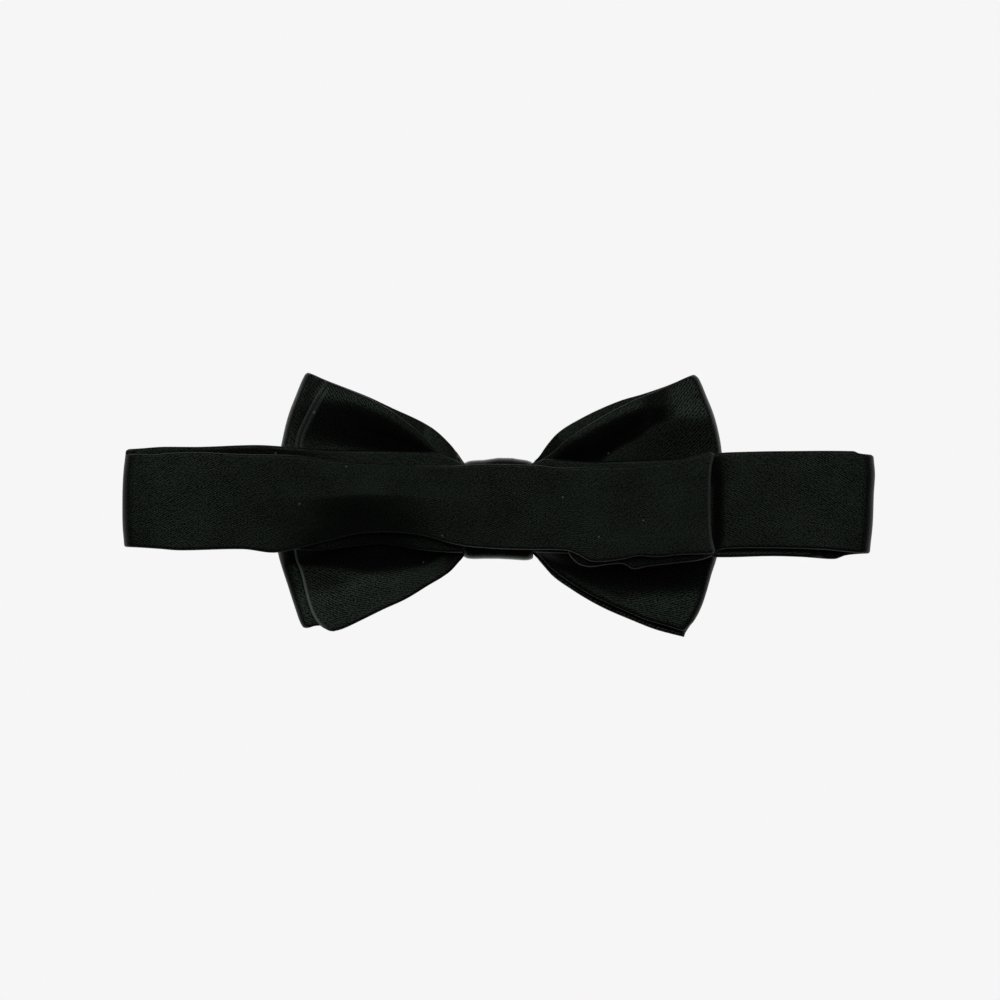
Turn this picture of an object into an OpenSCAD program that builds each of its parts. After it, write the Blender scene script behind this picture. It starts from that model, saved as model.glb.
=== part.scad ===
// Pre-tied butterfly bow tie on its own neckband, lying face down with the band closed and pressed flat.
// +X is across the bow, +Y is up the wearer's chest, +Z is away from the bow's face. z = 0 is the table.

/* [Bow] */
// Width of the bow from tip to tip
bow_w = 121; // [100:1:146]
// Height of the bow at its wing tips
wing_h = 72; // [58:1:88]
// Height of a wing where it enters the knot
waist_h = 22.4; // [16:0.1:23]
// How far a wing's corners draw back from the middle of its side edge
side_draw = 8; // [3:0.5:14]
// How far the flat ends stop short of the loops beside them
end_setback = 4.4; // [2:0.1:10]
// Open height inside the front loop
front_loop_gap = 3.6; // [2:0.1:6]
// Open height inside the back loop
back_loop_gap = 5; // [2:0.1:8]

/* [Knot] */
// Width of the knot along the bow
knot_w = 19; // [14:0.5:24]
// Height of the knot
knot_h = 28.4; // [26:0.1:36]
// Corner radius of the knot
knot_r = 5; // [2:0.1:6]
// How far the knot's middle sits below the bow's middle
knot_drop = 1; // [0:0.1:1.4]

/* [Band] */
// Half of the closed band's length when it is pressed flat
band_reach = 102.6; // [84:0.1:126]
// Width of the band
band_w = 26.4; // [20:0.1:34]
// Width of the band beside the knot
neck_w = 24; // [18:0.1:25]
// Thickness of the band: satin, interlining and satin
band_t = 1.5; // [1.2:0.1:2.4]
// Open height between the two layers of the closed band
neck_gap = 4.4; // [4.2:0.1:9]
// How far the band's middle sits above the bow's middle
band_rise = 0.8; // [0:0.1:1]
// Where the short end stops, from the bow's middle
lap_start = 19; // [17:0.5:26]
// Where the long end stops, from the bow's middle
lap_end = 58.3; // [50:0.1:70]

/* [Closing] */
// Length of the hook pad and of the loop pad
pad_l = 32; // [20:0.5:38]
// Width of the pads
pad_w = 18; // [12:0.5:18]
// How far the pads sit below the band's middle
pad_drop = 3; // [0:0.1:3]
// Width of the plain selvedge round each pad
pad_margin = 2; // [1.2:0.1:3]
// Thickness of a pad's woven ground
pad_ground = 0.4; // [0.3:0.05:0.6]
// Height of the hooks and of the loops
pad_pile = 0.6; // [0.4:0.05:0.8]

/* [Cloth] */
// Thickness of one wing strip: satin, interlining and satin
strip_t = 1.3; // [1.1:0.1:1.8]
// Thickness of one satin layer
satin_t = 0.35; // [0.25:0.01:0.4]
// Width of the turned seam along each edge
seam_w = 2; // [1:0.1:3]
// Thickness of the knot's satin
knot_satin_t = 0.6; // [0.4:0.05:0.8]
// Thickness of the knot's interlining
knot_canvas_t = 0.7; // [0.4:0.05:1]
// Thickness of the binding thread
thread_d = 0.5; // [0.3:0.05:0.8]
// Length of one hand stitch
stitch_l = 1.6; // [1.2:0.1:2]
// Thickness of one hand stitch
stitch_t = 0.25; // [0.15:0.01:0.3]

/* [Hidden] */
$fn = 48;

satin_colour = "#1A1D1C";
canvas_colour = "#D8D2C2";
pad_colour = "#121312";
thread_colour = "#26292A";

// Clearance between the pieces of one strip.
fit_gap = 0.05;
// Air between two strips, and between the band and what it lies over.
strip_air = 0.6;
band_air = 2.1;
knot_air = 0.15;
// Gap between the hooks and the loops as they engage.
engage_gap = 0.1;
// A length that reaches right past any piece.
past = 400;

knot_half = knot_w / 2;
core_end = knot_half - 2.5;
knot_wall = knot_satin_t + fit_gap + knot_canvas_t;
throat_x = knot_half + 0.3;
root_bend = knot_half + 8.5;
// Half the height of the strips inside the knot, where its hollow has round corners.
throat_half = knot_h / 2 - knot_drop - knot_r + 0.5;
hollow_r = knot_r - knot_wall;

// Heights of the strips above the table.
front_high = 2 * strip_t + front_loop_gap;
back_end_low = front_high + strip_air;
back_loop_low = strip_t + strip_air;
back_loop_high = back_loop_low + 2 * strip_t + back_loop_gap;
band_low = max(back_loop_high, back_end_low + strip_t) + band_air;
band_high = band_low + band_t;
knot_top = band_high + 1 + knot_wall;
flap_low = max(band_high + neck_gap, knot_top + stitch_t + 0.5);
flap_high = flap_low + band_t;
long_low = flap_high + 2 * (pad_ground + pad_pile) + engage_gap;

// Heights at which the strips enter the knot.
entry_low = knot_wall + knot_air;
entry_mid = entry_low + 2 * strip_t + 1.2;

// The gathered waist, with room for its binding.
core_low = entry_low + thread_d;
core_high = band_low - knot_air - thread_d;
core_h = 2 * throat_half;
// Width of the band where it passes through the knot.
center_w = min(neck_w - 0.6, knot_h - 2 * knot_r + 2 * sqrt(2 * hollow_r - 1) - 0.4);

// The folds at the two ends of the band.
fold_in = (flap_low - band_high) / 2;
fold_out = fold_in + band_t;
fold_x = band_reach - fold_out;
fold_z = (band_high + flap_low) / 2;
// The line about which each side of the band lifts beside the knot.
lift_x = knot_half + band_t / 2 + fit_gap;
// Where the long end climbs over the short one.
climb_start = lap_start - 15;
climb_end = lap_start - 3;

function rim_height(share, half, waist) = waist + (half - waist) * pow(share, 0.6);

// Butterfly outline of a wing on the +X side: upper rim, bowed side edge, lower rim.
module wing_outline(reach, half, waist, throat) {
    peak = reach - side_draw;
    steps = 8;
    rim = [for (i = [0 : steps - 1])
        [throat_x + (peak - throat_x) * i / steps, rim_height(i / steps, half, waist)]];
    side = [for (j = [0 : 2 * steps])
        let (v = 1 - j / steps) [reach - side_draw * v * v, half * v]];
    lower = [for (i = [steps - 1 : -1 : 0]) [rim[i][0], -rim[i][1]]];
    polygon(concat(
        [[core_end, throat], [throat_x, throat]], rim, side, lower,
        [[throat_x, -throat], [core_end, -throat]]
    ));
}

// A shape drawn across x and z, drawn out along y about y = 0.
module across(depth) {
    rotate([90, 0, 0])
        linear_extrude(depth, center = true)
            children();
}

// The side view of a strip that runs from the knot out to reach.
module strip_side(reach, root_z, low, high, root_high) {
    polygon([
        [core_end, root_z], [throat_x, root_z], [root_bend, low], [reach, low],
        [reach, high], [root_bend, high], [throat_x, root_high], [core_end, root_high]
    ]);
}

// One flat wing end, drawn in by ply from its faces and by edge from its outline.
module wing_end(reach, half, root_z, low, ply, edge) {
    intersection() {
        across(past)
            strip_side(reach, root_z + ply, low + ply, low + strip_t - ply, root_z + strip_t - ply);
        linear_extrude(past)
            wing_outline(reach - edge, half - edge, waist_h / 2 - edge, throat_half - edge);
    }
}

// One wing loop: an upper and a lower layer that meet at the wing's side edge, open along both rims.
module wing_loop(reach, half, root_low, root_high, low, high, ply, edge) {
    difference() {
        intersection() {
            across(past)
                strip_side(reach, root_low + ply, low + ply, high - ply, root_high - ply);
            linear_extrude(past)
                wing_outline(reach - ply, half - edge, waist_h / 2 - edge, throat_half - edge);
        }
        intersection() {
            across(past)
                strip_side(
                    reach, root_low + strip_t - ply, low + strip_t - ply,
                    high - strip_t + ply, root_high - strip_t + ply
                );
            translate([-fit_gap, 0, 0])
                linear_extrude(past)
                    wing_outline(
                        reach - strip_t + ply, half + seam_w, waist_h / 2 + seam_w, knot_h
                    );
        }
    }
}

module front_loop_solid(ply, edge) {
    mirror([1, 0, 0])
        wing_loop(bow_w / 2, wing_h / 2, entry_low, entry_mid, 0, front_high, ply, edge);
}

module front_end_solid(ply, edge) {
    wing_end(bow_w / 2 - end_setback / 2, wing_h / 2, entry_low, 0, ply, edge);
}

module back_loop_solid(ply, edge) {
    wing_loop(
        bow_w / 2, wing_h / 2, entry_low + strip_t + 0.3, core_high - 0.6,
        back_loop_low, back_loop_high, ply, edge
    );
}

module back_end_solid(ply, edge) {
    mirror([1, 0, 0])
        wing_end(
            bow_w / 2 - end_setback, wing_h / 2 - 1.2, entry_mid + 0.4, back_end_low, ply, edge
        );
}

module front_loop_satin() {
    color(satin_colour)
        difference() {
            front_loop_solid(0, 0);
            front_loop_solid(satin_t, seam_w);
        }
}

module front_loop_interlining() {
    color(canvas_colour)
        front_loop_solid(satin_t + fit_gap, seam_w + fit_gap);
}

module front_end_satin() {
    color(satin_colour)
        difference() {
            front_end_solid(0, 0);
            front_end_solid(satin_t, seam_w);
        }
}

module front_end_interlining() {
    color(canvas_colour)
        front_end_solid(satin_t + fit_gap, seam_w + fit_gap);
}

module back_loop_satin() {
    color(satin_colour)
        difference() {
            back_loop_solid(0, 0);
            back_loop_solid(satin_t, seam_w);
        }
}

module back_loop_interlining() {
    color(canvas_colour)
        back_loop_solid(satin_t + fit_gap, seam_w + fit_gap);
}

module back_end_satin() {
    color(satin_colour)
        difference() {
            back_end_solid(0, 0);
            back_end_solid(satin_t, seam_w);
        }
}

module back_end_interlining() {
    color(canvas_colour)
        back_end_solid(satin_t + fit_gap, seam_w + fit_gap);
}

// The gathered middle of both strips: a block with pleats along its upper and lower faces.
module waist_pleats() {
    pleats = 8;
    depth = 1.6;
    step = core_h / pleats;
    top = [for (i = [0 : pleats])
        [-core_h / 2 + i * step, core_high - (i % 2) * depth]];
    bottom = [for (i = [pleats : -1 : 0])
        [-core_h / 2 + i * step, core_low + (i % 2) * depth]];
    color(satin_colour)
        translate([-core_end, 0, 0])
            rotate([90, 0, 90])
                linear_extrude(2 * core_end)
                    polygon(concat(top, bottom));
}

// A rectangle with round corners, about its middle.
module round_rect(wide, high, r) {
    square([wide - 2 * r, high], center = true);
    square([wide, high - 2 * r], center = true);
    for (x = [-1, 1], y = [-1, 1])
        translate([x * (wide / 2 - r), y * (high / 2 - r)])
            circle(r);
}

// Four turns of thread round the waist.
module binding_thread() {
    turns = 4;
    pitch = 2 * thread_d;
    high = core_high - core_low;
    color(thread_colour)
        for (i = [0 : turns - 1])
            translate([(i - (turns - 1) / 2) * pitch - thread_d / 2, 0, (core_high + core_low) / 2])
                rotate([90, 0, 90])
                    linear_extrude(thread_d)
                        difference() {
                            round_rect(core_h + 2 * thread_d, high + 2 * thread_d, 2 * thread_d);
                            square([core_h + fit_gap, high + fit_gap], center = true);
                        }
}

// A round-cornered tube along x, drawn in by inset from the knot's outer face.
module knot_tube(length, inset, wall) {
    wide = knot_h - 2 * inset;
    high = knot_top - 2 * inset;
    translate([-length / 2, -knot_drop, knot_top / 2])
        rotate([90, 0, 90])
            linear_extrude(length)
                difference() {
                    round_rect(wide, high, knot_r - inset);
                    round_rect(wide - 2 * wall, high - 2 * wall, max(knot_r - inset - wall, 0.4));
                }
}

module knot_wrap() {
    color(satin_colour)
        knot_tube(knot_w, 0, knot_satin_t);
}

module knot_interlining() {
    color(canvas_colour)
        knot_tube(knot_w - 1, knot_satin_t + fit_gap, knot_canvas_t);
}

// A row of stitches along x that lie on the surface at height z.
module stitch_row(count, length, z, slant) {
    for (i = [0 : count - 1])
        translate([-length / 2 + length * (i + 0.5) / count, 0, z + stitch_t / 2])
            rotate([0, 0, slant])
                cube([stitch_l, stitch_t, stitch_t], center = true);
}

// Hand stitches that close the wrap along the back of the knot.
module knot_stitches() {
    color(thread_colour)
        translate([0, -knot_drop, 0])
            stitch_row(7, knot_w - 2, knot_top, 60);
}

// The stretch of the band that passes through the knot.
module band_center() {
    length = knot_w - 0.6;
    color(satin_colour)
        translate([-length / 2, -knot_drop - center_w / 2, band_low])
            cube([length, center_w, band_t]);
}

// Two rows of cross stitches that hold the band to the waist.
module anchor_stitches() {
    color(thread_colour)
        for (side = [-1, 1], slant = [-45, 45])
            translate([side * knot_half / 2, -knot_drop, 0])
                rotate([0, 0, 90])
                    stitch_row(6, center_w - 4, band_high, slant);
}

// The outline of the band from the knot out to the fold, drawn in by edge.
module band_outline(edge) {
    start = lift_x + (edge > 0 ? 1 : 0);
    taper_end = lift_x + 20;
    narrow = neck_w / 2 - edge;
    wide = band_w / 2 - edge;
    translate([0, band_rise])
        polygon([
            [start, -narrow], [taper_end, -wide], [fold_x, -wide],
            [fold_x, wide], [taper_end, wide], [start, narrow]
        ]);
}

module band_satin() {
    color(satin_colour) {
        difference() {
            translate([0, 0, band_low])
                linear_extrude(band_t)
                    band_outline(0);
            translate([0, 0, band_low + satin_t])
                linear_extrude(band_t - 2 * satin_t)
                    band_outline(seam_w);
        }
        intersection() {
            translate([lift_x, band_rise, band_low + band_t / 2])
                rotate([90, 0, 0])
                    cylinder(h = neck_w, d = band_t, center = true);
            translate([lift_x - past, -past / 2, 0])
                cube([past, past, past]);
        }
    }
}

module band_interlining() {
    color(canvas_colour)
        translate([0, 0, band_low + satin_t + fit_gap])
            linear_extrude(band_t - 2 * (satin_t + fit_gap))
                band_outline(seam_w + fit_gap);
}

// Half of a tube along y: the band as it turns back on itself.
module fold_tube(wide, inset) {
    translate([fold_x, band_rise, fold_z])
        rotate([90, 0, 0])
            linear_extrude(wide, center = true)
                intersection() {
                    difference() {
                        circle(fold_out - inset);
                        circle(fold_in + inset);
                    }
                    translate([0, -past / 2])
                        square([past, past]);
                }
}

module fold_satin() {
    color(satin_colour)
        difference() {
            fold_tube(band_w, 0);
            fold_tube(band_w - 2 * seam_w, satin_t);
        }
}

module fold_interlining() {
    color(canvas_colour)
        fold_tube(band_w - 2 * seam_w - 2 * fit_gap, satin_t + fit_gap);
}

// The side view of a flap on the +X side: flat from the fold, with its tip at another height.
module flap_side(tip, tip_low, bend_near, bend_far, ply, edge) {
    polygon([
        [tip + edge, tip_low + ply], [bend_far, tip_low + ply], [bend_near, flap_low + ply],
        [fold_x, flap_low + ply], [fold_x, flap_high - ply],
        [bend_near, flap_high - ply], [bend_far, tip_low + band_t - ply],
        [tip + edge, tip_low + band_t - ply]
    ]);
}

module flap_solid(tip, tip_low, bend_near, bend_far, ply, edge) {
    translate([0, band_rise, 0])
        across(band_w - 2 * edge)
            flap_side(tip, tip_low, bend_near, bend_far, ply, edge);
}

module long_flap_solid(ply, edge) {
    mirror([1, 0, 0])
        flap_solid(-lap_end, long_low, -climb_start, -climb_end, ply, edge);
}

module short_flap_solid(ply, edge) {
    middle = (lap_start + fold_x) / 2;
    flap_solid(lap_start, flap_low, middle + 1, middle - 1, ply, edge);
}

module left_flap_satin() {
    color(satin_colour)
        difference() {
            long_flap_solid(0, 0);
            long_flap_solid(satin_t, seam_w);
        }
}

module left_flap_interlining() {
    color(canvas_colour)
        long_flap_solid(satin_t + fit_gap, seam_w + fit_gap);
}

module right_flap_satin() {
    color(satin_colour)
        difference() {
            short_flap_solid(0, 0);
            short_flap_solid(satin_t, seam_w);
        }
}

module right_flap_interlining() {
    color(canvas_colour)
        short_flap_solid(satin_t + fit_gap, seam_w + fit_gap);
}

// Moves its children to the middle of the lap, where the two pads meet.
module at_lap(z) {
    translate([(lap_start + lap_end) / 2, band_rise - pad_drop, z])
        children();
}

// A fastening pad that stands on z = 0 with its pile upwards.
module pad() {
    field_l = pad_l - 2 * pad_margin;
    field_w = pad_w - 2 * pad_margin;
    translate([-pad_l / 2, -pad_w / 2, 0])
        cube([pad_l, pad_w, pad_ground]);
    translate([-field_l / 2, -field_w / 2, pad_ground])
        cube([field_l, field_w, pad_pile]);
}

// Stitches along the selvedge of a pad, lying on its woven ground.
module pad_stitching() {
    line_l = pad_l - pad_margin;
    line_w = pad_w - pad_margin;
    for (side = [-1, 1])
        translate([0, side * line_w / 2, 0])
            stitch_row(12, line_l - stitch_l, pad_ground, 0);
    for (side = [-1, 1])
        translate([side * line_l / 2, 0, 0])
            rotate([0, 0, 90])
                stitch_row(6, line_w - stitch_l, pad_ground, 0);
}

module hook_pad() {
    color(pad_colour)
        at_lap(long_low)
            mirror([0, 0, 1])
                pad();
}

module hook_pad_stitches() {
    color(thread_colour)
        at_lap(long_low)
            mirror([0, 0, 1])
                pad_stitching();
}

module loop_pad() {
    color(pad_colour)
        at_lap(flap_high)
            pad();
}

module loop_pad_stitches() {
    color(thread_colour)
        at_lap(flap_high)
            pad_stitching();
}

module on_left() {
    mirror([1, 0, 0])
        children();
}

front_loop_satin();
front_loop_interlining();
front_end_satin();
front_end_interlining();
back_loop_satin();
back_loop_interlining();
back_end_satin();
back_end_interlining();
waist_pleats();
binding_thread();
knot_wrap();
knot_interlining();
knot_stitches();
band_center();
anchor_stitches();
on_left() band_satin();  // left_band_satin
on_left() band_interlining();  // left_band_interlining
on_left() fold_satin();  // left_fold_satin
on_left() fold_interlining();  // left_fold_interlining
left_flap_satin();
left_flap_interlining();
hook_pad();
hook_pad_stitches();
band_satin();  // right_band_satin
band_interlining();  // right_band_interlining
fold_satin();  // right_fold_satin
fold_interlining();  // right_fold_interlining
right_flap_satin();
right_flap_interlining();
loop_pad();
loop_pad_stitches();
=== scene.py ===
"""Visual model of a pre-tied black silk bow tie, lying face down with its neckband closed over the knot.

+X runs across the bow, +Y up the wearer's chest and +Z away from the bow's face. Shapes are worked out in
millimetres and placed in metres.
"""

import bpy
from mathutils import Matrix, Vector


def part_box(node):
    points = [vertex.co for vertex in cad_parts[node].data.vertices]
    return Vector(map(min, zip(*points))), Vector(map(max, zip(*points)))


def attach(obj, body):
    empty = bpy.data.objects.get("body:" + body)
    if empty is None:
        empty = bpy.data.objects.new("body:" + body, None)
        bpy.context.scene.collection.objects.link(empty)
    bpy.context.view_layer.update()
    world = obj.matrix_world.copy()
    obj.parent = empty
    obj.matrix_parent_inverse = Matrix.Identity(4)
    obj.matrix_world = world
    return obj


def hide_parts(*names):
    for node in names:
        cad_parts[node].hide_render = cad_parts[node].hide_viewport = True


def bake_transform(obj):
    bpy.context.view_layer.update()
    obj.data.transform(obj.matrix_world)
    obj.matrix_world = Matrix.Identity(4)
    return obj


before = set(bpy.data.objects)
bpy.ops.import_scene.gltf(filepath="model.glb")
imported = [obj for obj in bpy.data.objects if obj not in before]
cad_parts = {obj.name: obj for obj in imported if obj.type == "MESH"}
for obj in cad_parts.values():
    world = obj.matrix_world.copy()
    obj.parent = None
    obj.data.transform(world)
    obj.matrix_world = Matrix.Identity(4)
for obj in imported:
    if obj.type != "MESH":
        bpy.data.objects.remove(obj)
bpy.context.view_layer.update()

import logging
import math
from dataclasses import dataclass
from enum import Enum
from typing import Callable, Sequence

import bmesh
import bpy
from mathutils import Vector, noise

LOG = logging.getLogger("bow_tie")
MM = 0.001
# Where every wing starts, inside the knot, in mm outwards.
ROOT = 7.4
# How far apart the lint specks are, in mm.
LINT_CELL = 24.0
# The pale colour painted on as a highlight where edges catch the light, and the colour of lint.
PAINTED_HIGHLIGHT_SILK = "#6A706E"
LINT = "#8E8C84"
# How polished the knot is: a dull attribute below 0.
KNOT_POLISH = -0.45
# How much of a wing strip its flat end and its loop use, in mm along the cloth.
END_LENGTH = 50.0
LOOP_LENGTH = 100.0

Point = tuple[float, float, float]
Surface = Callable[[float, float], Point]
Knots = Sequence[tuple[float, float]]


# ---------------------------------------------------------------------------------------------- numbers


def mix(a: float, b: float, t: float) -> float:
    """Return the value that lies the share t of the way from a to b."""
    return a + (b - a) * t


def ease(low: float, high: float, x: float) -> float:
    """Return 0 below low, 1 above high, and a smooth rise between them."""
    t = min(max((x - low) / (high - low), 0.0), 1.0)
    return t * t * (3.0 - 2.0 * t)


def hill(x: float, middle: float, width: float) -> float:
    """Return a bell of height 1 about middle, which falls to a third at one width."""
    return math.exp(-(((x - middle) / width) ** 2))


def along_line(knots: Knots, x: float) -> float:
    """Read a smooth line through given points.

    Args:
        knots: (position, value) pairs in rising order of position.
        x: The position to read at.

    Returns:
        The value of a monotone-eased cubic through the points, held flat beyond its ends.
    """
    if x <= knots[0][0]:
        return knots[0][1]
    for i in range(len(knots) - 1):
        (x0, y0), (x1, y1) = knots[i], knots[i + 1]
        if x <= x1:
            before = knots[i - 1] if i else (x0 - (x1 - x0), y0)
            after = knots[i + 2] if i + 2 < len(knots) else (x1 + (x1 - x0), y1)
            m0 = (y1 - before[1]) / (x1 - before[0]) * (x1 - x0)
            m1 = (after[1] - y0) / (after[0] - x0) * (x1 - x0)
            t = (x - x0) / (x1 - x0)
            return (
                (2 * t**3 - 3 * t**2 + 1) * y0
                + (t**3 - 2 * t**2 + t) * m0
                + (3 * t**2 - 2 * t**3) * y1
                + (t**3 - t**2) * m1
            )
    return knots[-1][1]


def ripple(x: float, y: float, seed: float, size: float) -> float:
    """Return gentle unevenness from about -1 to 1, whose swells are about size across."""
    return noise.noise(Vector((x / size, y / size, seed)))


# ------------------------------------------------------------------------------------------- materials


def linear(hex_colour: str) -> tuple[float, float, float, float]:
    """Turn an sRGB hex colour such as #1A1D1C into linear RGBA."""
    parts = [int(hex_colour[i : i + 2], 16) / 255.0 for i in (1, 3, 5)]
    red, green, blue = (
        c / 12.92 if c <= 0.04045 else ((c + 0.055) / 1.055) ** 2.4 for c in parts
    )
    return red, green, blue, 1.0


def add_node(
    material: bpy.types.Material,
    kind: str,
    settings: dict[str, object] | None = None,
    inputs: dict[str | int, object] | None = None,
) -> bpy.types.Node:
    """Add one node to a material.

    Args:
        material: The material whose tree gets the node.
        kind: The node's type name.
        settings: Properties of the node.
        inputs: Input sockets by name or number: a value, or another node's output socket to link.

    Returns:
        The new node.
    """
    node = material.node_tree.nodes.new(kind)
    for name, value in (settings or {}).items():
        setattr(node, name, value)
    for name, value in (inputs or {}).items():
        if isinstance(value, bpy.types.NodeSocket):
            material.node_tree.links.new(value, node.inputs[name])
        else:
            node.inputs[name].default_value = value
    return node


class Weave(Enum):
    """How the threads of a cloth cross."""

    TWILL = "twill"
    PLAIN = "plain"
    PILE = "pile"
    TWIST = "twist"


@dataclass(frozen=True)
class ClothFinish:
    """A woven or twisted textile.

    The pattern reads a piece's own UV map, whose unit is one millimetre along and across the cloth.
    """

    name: str
    slot: str
    dark: str
    light: str
    weave: Weave
    pitch_mm: float
    relief_mm: float
    roughness: float
    specular: float
    sheen: float
    gleam_low: str = "#FFFFFF"
    gleam_high: str = "#FFFFFF"
    lint: float = 0.0
    angle_deg: float = 62.0
    # Whether the rims go matt and a pale highlight is painted on the edges that catch the light.
    wears_and_highlights: bool = False

    def build(self) -> bpy.types.Material:
        """Make the material: thread pattern, slow colour drift, lint specks and bump.

        Returns:
            The material.
        """
        material = bpy.data.materials.new(self.name)
        material.use_nodes = True
        tree = material.node_tree
        shader = tree.nodes["Principled BSDF"]
        shader.inputs["Roughness"].default_value = self.roughness
        shader.inputs["Specular IOR Level"].default_value = self.specular
        shader.inputs["Sheen Weight"].default_value = self.sheen
        shader.inputs["Sheen Roughness"].default_value = 0.35

        cloth = add_node(material, "ShaderNodeUVMap", {"uv_map": "cloth"}).outputs["UV"]
        threads = self._threads(material, cloth)
        grain = add_node(
            material,
            "ShaderNodeTexNoise",
            {"noise_dimensions": "2D"},
            {"Vector": cloth, "Scale": 1.2 / self.pitch_mm, "Detail": 2.0, "Roughness": 0.7},
        )
        drift = add_node(
            material,
            "ShaderNodeTexNoise",
            {"noise_dimensions": "2D"},
            {"Vector": cloth, "Scale": 0.09, "Detail": 3.0, "Roughness": 0.55},
        )
        height = add_node(
            material,
            "ShaderNodeMath",
            {"operation": "MULTIPLY_ADD"},
            {0: grain.outputs["Fac"], 1: 3.2, 2: threads},
        )
        tone = add_node(
            material,
            "ShaderNodeMath",
            {"operation": "MULTIPLY_ADD"},
            {0: drift.outputs["Fac"], 1: 0.6, 2: height.outputs[0]},
        )
        shade = add_node(
            material,
            "ShaderNodeMapRange",
            {"interpolation_type": "SMOOTHSTEP"},
            {"Value": tone.outputs[0], "From Min": 1.85, "From Max": 2.95},
        )
        colour = add_node(
            material,
            "ShaderNodeMix",
            {"data_type": "RGBA"},
            {0: shade.outputs["Result"], 6: linear(self.dark), 7: linear(self.light)},
        )
        final = colour.outputs[2]
        # Matt rims, and a painted pale highlight on the edges that catch the light.
        if self.wears_and_highlights:
            final = self._wear_and_highlight(material, shade.outputs["Result"], final)
        if self.lint:
            final = self._specks(material, cloth, final)
        bump = add_node(
            material,
            "ShaderNodeBump",
            {},
            {"Height": height.outputs[0], "Distance": self.relief_mm * MM, "Strength": 1.0},
        )
        tree.links.new(final, shader.inputs["Base Color"])
        tree.links.new(bump.outputs["Normal"], shader.inputs["Normal"])
        return material

    def _threads(
        self, material: bpy.types.Material, cloth: bpy.types.NodeSocket
    ) -> bpy.types.NodeSocket:
        """Return the socket that carries the thread pattern, from 0 between threads to 1 on them.

        Args:
            material: The material whose tree gets the nodes.
            cloth: The place on the cloth, in mm.

        Returns:
            The pattern's output socket.
        """
        if self.weave is Weave.PILE:
            return add_node(
                material,
                "ShaderNodeTexVoronoi",
                {"voronoi_dimensions": "2D"},
                {"Vector": cloth, "Scale": 1.0 / self.pitch_mm},
            ).outputs["Distance"]
        turn = math.radians(0.0 if self.weave is Weave.PLAIN else self.angle_deg)
        turned = add_node(
            material,
            "ShaderNodeMapping",
            {},
            {"Vector": cloth, "Rotation": (0.0, 0.0, turn)},
        ).outputs["Vector"]
        # A wave texture draws a band every 2 pi / 20 units at scale 1.
        scale = (math.tau / 20.0) / self.pitch_mm
        lines = add_node(
            material,
            "ShaderNodeTexWave",
            {"wave_type": "BANDS", "bands_direction": "X"},
            {
                "Vector": turned,
                "Scale": scale,
                "Distortion": 4.5,
                "Detail": 3.0,
                "Detail Scale": 2.0,
            },
        ).outputs["Fac"]
        if self.weave is not Weave.PLAIN:
            return lines
        crossing = add_node(
            material,
            "ShaderNodeTexWave",
            {"wave_type": "BANDS", "bands_direction": "Y"},
            {"Vector": turned, "Scale": scale, "Distortion": 0.6},
        ).outputs["Fac"]
        return add_node(
            material, "ShaderNodeMath", {"operation": "MAXIMUM"}, {0: lines, 1: crossing}
        ).outputs[0]

    def _wear_and_highlight(
        self,
        material: bpy.types.Material,
        shade: bpy.types.NodeSocket,
        colour: bpy.types.NodeSocket,
    ) -> bpy.types.NodeSocket:
        """Dim and roughen the gloss on matt rims, and paint a pale highlight colour on the edges that catch
        the light.

        Args:
            material: The material, whose shader's roughness and specular tint are linked here.
            shade: The thread tone, from 0 in the dark threads to 1 on the light ones.
            colour: The cloth's colour.

        Returns:
            The colour with its painted edge highlights.
        """
        shader = material.node_tree.nodes["Principled BSDF"]
        dull = add_node(material, "ShaderNodeAttribute", {"attribute_name": "dull"}).outputs["Fac"]
        rough, dimmed = (
            add_node(
                material,
                "ShaderNodeMapRange",
                {"clamp": False},
                {"Value": dull, "From Max": 0.5, "To Min": fresh, "To Max": worn},
            ).outputs["Result"]
            for fresh, worn in ((self.roughness, 1.7 * self.roughness), (1.0, 0.2))
        )
        gleam = add_node(
            material,
            "ShaderNodeMix",
            {"data_type": "RGBA"},
            {0: shade, 6: linear(self.gleam_low), 7: linear(self.gleam_high)},
        )
        tint = add_node(
            material,
            "ShaderNodeVectorMath",
            {"operation": "SCALE"},
            {0: gleam.outputs[2], "Scale": dimmed},
        )
        material.node_tree.links.new(rough, shader.inputs["Roughness"])
        material.node_tree.links.new(tint.outputs["Vector"], shader.inputs["Specular Tint"])
        # Painted highlight: a pale colour mixed into the satin where its edges catch the light.
        painted_highlight = add_node(material, "ShaderNodeAttribute", {"attribute_name": "painted_highlight"})
        return add_node(
            material,
            "ShaderNodeMix",
            {"data_type": "RGBA"},
            {0: painted_highlight.outputs["Fac"], 6: colour, 7: linear(PAINTED_HIGHLIGHT_SILK)},
        ).outputs[2]

    def _specks(
        self,
        material: bpy.types.Material,
        cloth: bpy.types.NodeSocket,
        colour: bpy.types.NodeSocket,
    ) -> bpy.types.NodeSocket:
        """Return the colour with a few specks of pale lint, one in each cell of about 24 mm.

        Args:
            material: The material whose tree gets the nodes.
            cloth: The place on the cloth, in mm.
            colour: The colour without lint.

        Returns:
            The colour with lint.
        """
        cells = add_node(
            material,
            "ShaderNodeTexVoronoi",
            {"voronoi_dimensions": "2D"},
            {"Vector": cloth, "Scale": 1.0 / LINT_CELL},
        )
        near = add_node(
            material,
            "ShaderNodeMapRange",
            {},
            {
                "Value": cells.outputs["Distance"],
                "From Min": 0.012,
                "From Max": 0.008,
                "To Max": self.lint,
            },
        )
        return add_node(
            material,
            "ShaderNodeMix",
            {"data_type": "RGBA"},
            {0: near.outputs["Result"], 6: colour, 7: linear(LINT)},
        ).outputs[2]


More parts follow.
